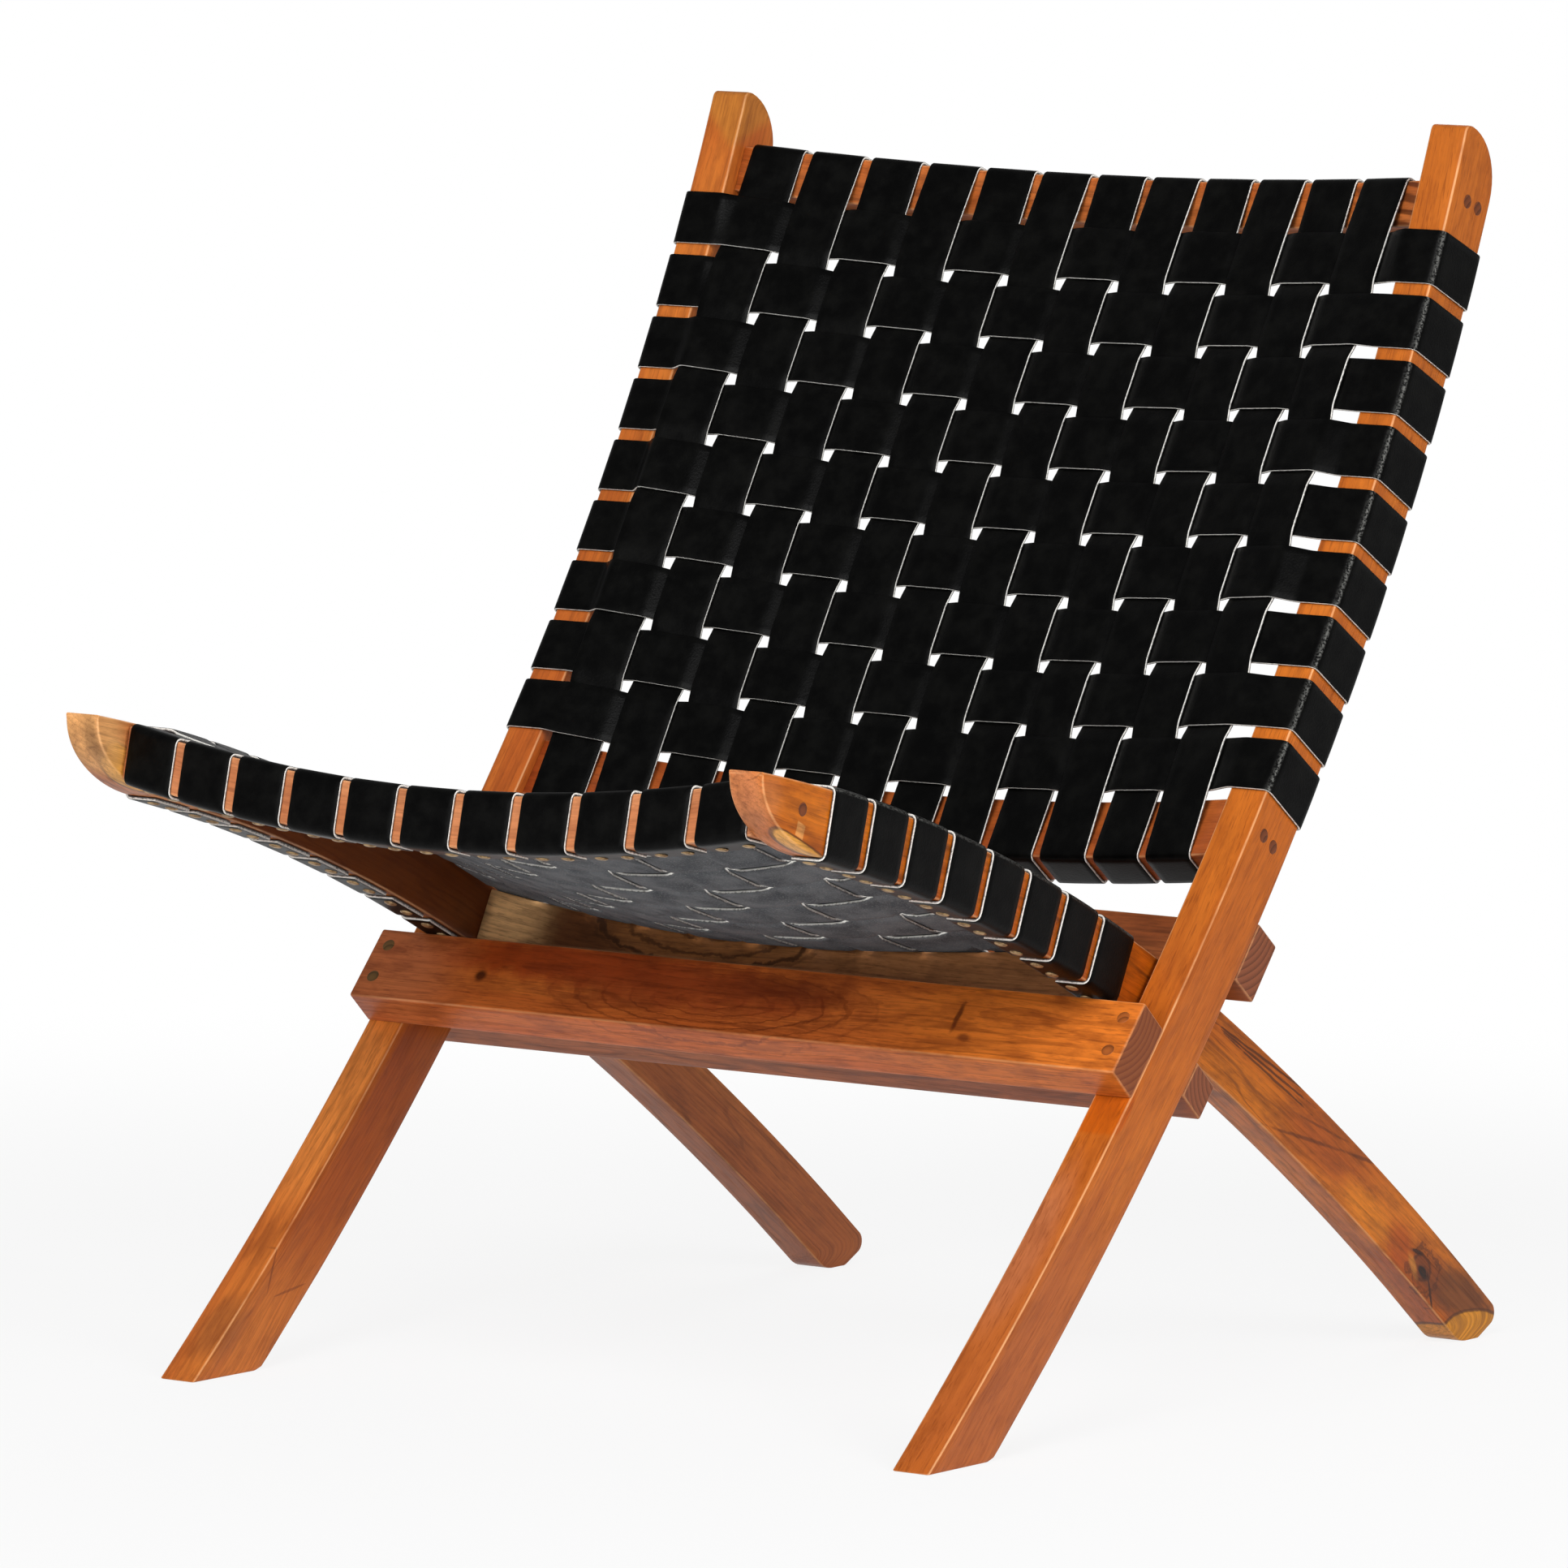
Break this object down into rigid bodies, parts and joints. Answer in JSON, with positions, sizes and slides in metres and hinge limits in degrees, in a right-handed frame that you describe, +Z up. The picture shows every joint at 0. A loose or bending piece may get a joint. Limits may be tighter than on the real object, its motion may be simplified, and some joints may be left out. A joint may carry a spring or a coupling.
{
  "type": "woven strap lounge chair",
  "caption": "Low armless lounge chair of two interlocking curved timber frames, with a seat and back woven from black leather straps.",
  "frame": {"origin": "on the floor under the middle of the chair", "axes": "+Z up, +Y from the front of the chair to its back, +X to the right of someone who looks at the chair from the front"},
  "size_m": [0.6258, 0.8732, 0.8331],
  "materials": {
    "oiled_wood": "oiled, satin",
    "dowel_wood": "oiled end grain",
    "strap_leather": "smooth black with pale cut edges and a grey flesh side",
    "tack_bronze": "antique bronze"
  },
  "bodies": {
    "back_frame": {"back_rail_left": "oiled_wood", "back_rail_right": "oiled_wood", "back_top_rail": "oiled_wood", "back_bottom_rail": "oiled_wood", "front_beam": "oiled_wood", "rear_beam_upper": "oiled_wood", "rear_beam_lower": "oiled_wood", "back_top_rail_dowel_left_front": "dowel_wood", "back_top_rail_dowel_left_rear": "dowel_wood", "back_top_rail_dowel_right_front": "dowel_wood", "back_top_rail_dowel_right_rear": "dowel_wood", "back_bottom_rail_dowel_left_front": "dowel_wood", "back_bottom_rail_dowel_left_rear": "dowel_wood", "back_bottom_rail_dowel_right_front": "dowel_wood", "back_bottom_rail_dowel_right_rear": "dowel_wood", "back_down_strap_01": "strap_leather", "back_down_strap_02": "strap_leather", "back_down_strap_03": "strap_leather", "back_down_strap_04": "strap_leather", "back_down_strap_05": "strap_leather", "back_down_strap_06": "strap_leather", "back_down_strap_07": "strap_leather", "back_down_strap_08": "strap_leather", "back_down_strap_09": "strap_leather", "back_down_strap_10": "strap_leather", "back_down_strap_11": "strap_leather", "back_down_strap_12": "strap_leather", "back_across_strap_1": "strap_leather", "back_across_strap_2": "strap_leather", "back_across_strap_3": "strap_leather", "back_across_strap_4": "strap_leather", "back_across_strap_5": "strap_leather", "back_across_strap_6": "strap_leather", "back_across_strap_7": "strap_leather", "back_across_strap_8": "strap_leather", "back_across_strap_9": "strap_leather"},
    "seat_frame": {"seat_rail_left": "oiled_wood", "seat_rail_right": "oiled_wood", "seat_front_rail": "oiled_wood", "seat_rear_rail": "oiled_wood", "seat_long_strap_01": "strap_leather", "seat_long_strap_02": "strap_leather", "seat_long_strap_03": "strap_leather", "seat_long_strap_04": "strap_leather", "seat_long_strap_05": "strap_leather", "seat_long_strap_06": "strap_leather", "seat_long_strap_07": "strap_leather", "seat_long_strap_08": "strap_leather", "seat_long_strap_09": "strap_leather", "seat_long_strap_10": "strap_leather", "seat_long_strap_11": "strap_leather", "seat_across_strap_1": "strap_leather", "seat_across_strap_2": "strap_leather", "seat_across_strap_3": "strap_leather", "seat_across_strap_4": "strap_leather", "seat_across_strap_5": "strap_leather", "seat_across_strap_6": "strap_leather", "seat_across_strap_7": "strap_leather", "seat_across_strap_8": "strap_leather"}
  },
  "joints": [
    {"name": "seat_slide", "type": "slide", "parent": "back_frame", "child": "seat_frame", "axis": [0, -0.8517, 0.524], "range_m": [0, 0.3]}
  ]
}
